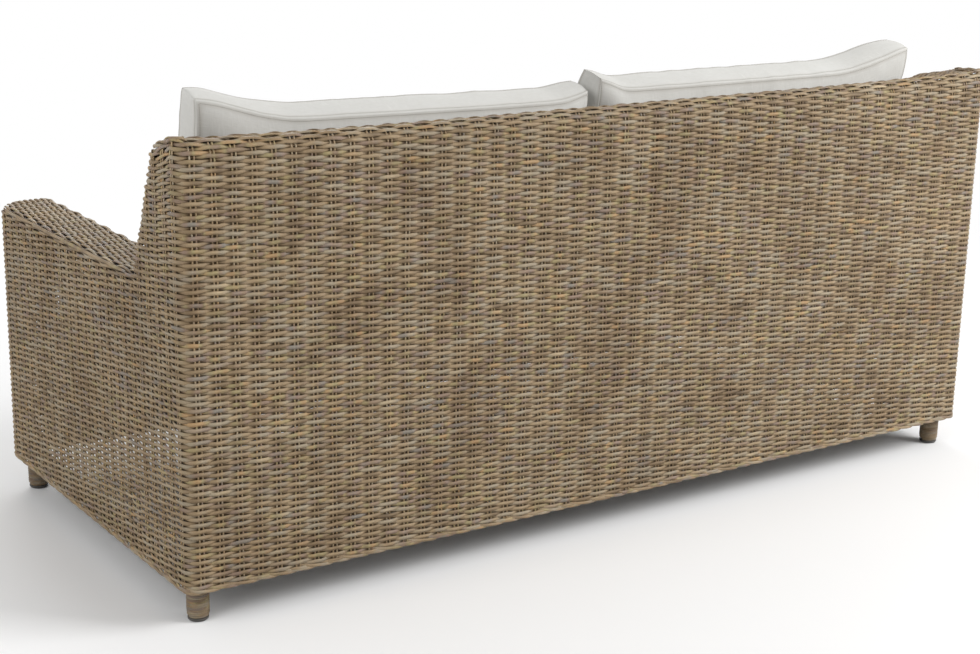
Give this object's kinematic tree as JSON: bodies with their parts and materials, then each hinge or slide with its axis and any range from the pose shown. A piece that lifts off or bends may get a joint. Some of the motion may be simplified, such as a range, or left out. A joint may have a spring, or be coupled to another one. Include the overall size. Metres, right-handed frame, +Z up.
{
  "type": "garden sofa",
  "caption": "Low garden sofa with flat-topped arms, a sloping winged back, a wicker shell woven over a tube frame, short wrapped legs and loose seat and back cushions.",
  "frame": {"origin": "on the floor, under the middle of the sofa's outline", "axes": "+X to the right along the sofa's width seen from the front, +Y towards its rear, +Z up; the seat faces -Y"},
  "size_m": [1.8, 0.812, 0.8619],
  "materials": {
    "wicker": "woven tan, brown and grey strands",
    "frame_tube": "dark brown powder coat",
    "glide": "moulded dark grey",
    "cushion_fabric": "off-white linen-look weave"
  },
  "bodies": {
    "sofa_frame": {"rear_post_left": "frame_tube", "rear_post_right": "frame_tube", "front_post_left": "frame_tube", "front_post_right": "frame_tube", "front_inner_post_left": "frame_tube", "front_inner_post_right": "frame_tube", "arm_outer_rail_left": "frame_tube", "arm_outer_rail_right": "frame_tube", "arm_inner_rail_left": "frame_tube", "arm_inner_rail_right": "frame_tube", "wing_post_left": "frame_tube", "wing_post_right": "frame_tube", "seat_side_rail_left": "frame_tube", "seat_side_rail_right": "frame_tube", "rear_strut_left": "frame_tube", "rear_strut_centre": "frame_tube", "rear_strut_right": "frame_tube", "seat_bearer_left": "frame_tube", "seat_bearer_centre": "frame_tube", "seat_bearer_right": "frame_tube", "back_stile_left": "frame_tube", "back_stile_centre": "frame_tube", "back_stile_right": "frame_tube", "rear_bottom_rail": "frame_tube", "front_bottom_rail": "frame_tube", "left_bottom_rail": "frame_tube", "right_bottom_rail": "frame_tube", "seat_front_rail": "frame_tube", "seat_rear_rail": "frame_tube", "apron_strut": "frame_tube", "top_rear_rail": "frame_tube", "top_front_rail": "frame_tube", "leg_front_left": "frame_tube", "leg_front_right": "frame_tube", "leg_rear_left": "frame_tube", "leg_rear_right": "frame_tube", "leg_wrap_front_left": "wicker", "leg_wrap_front_right": "wicker", "leg_wrap_rear_left": "wicker", "leg_wrap_rear_right": "wicker", "glide_front_left": "glide", "glide_front_right": "glide", "glide_rear_left": "glide", "glide_rear_right": "glide", "rear_skin": "wicker", "side_skin_left": "wicker", "side_skin_right": "wicker", "arm_skin_left": "wicker", "arm_skin_right": "wicker", "arm_front_left": "wicker", "arm_front_right": "wicker", "apron_skin": "wicker", "seat_deck": "wicker", "back_front_skin": "wicker", "back_top_skin": "wicker"},
    "left_seat_cushion": {"seat_cushion_left": "cushion_fabric"},
    "right_seat_cushion": {"seat_cushion_right": "cushion_fabric"},
    "left_back_cushion": {"back_cushion_left": "cushion_fabric"},
    "right_back_cushion": {"back_cushion_right": "cushion_fabric"}
  },
  "joints": [
    {"name": "left_seat_lift", "type": "slide", "parent": "sofa_frame", "child": "left_seat_cushion", "axis": [0, 0, 1], "range_m": [0, 0.5]},
    {"name": "right_seat_lift", "type": "slide", "parent": "sofa_frame", "child": "right_seat_cushion", "axis": [0, 0, 1], "range_m": [0, 0.5]},
    {"name": "left_back_lift", "type": "slide", "parent": "left_seat_cushion", "child": "left_back_cushion", "axis": [0, 0, 1], "range_m": [0, 0.45]},
    {"name": "right_back_lift", "type": "slide", "parent": "right_seat_cushion", "child": "right_back_cushion", "axis": [0, 0, 1], "range_m": [0, 0.45]}
  ]
}
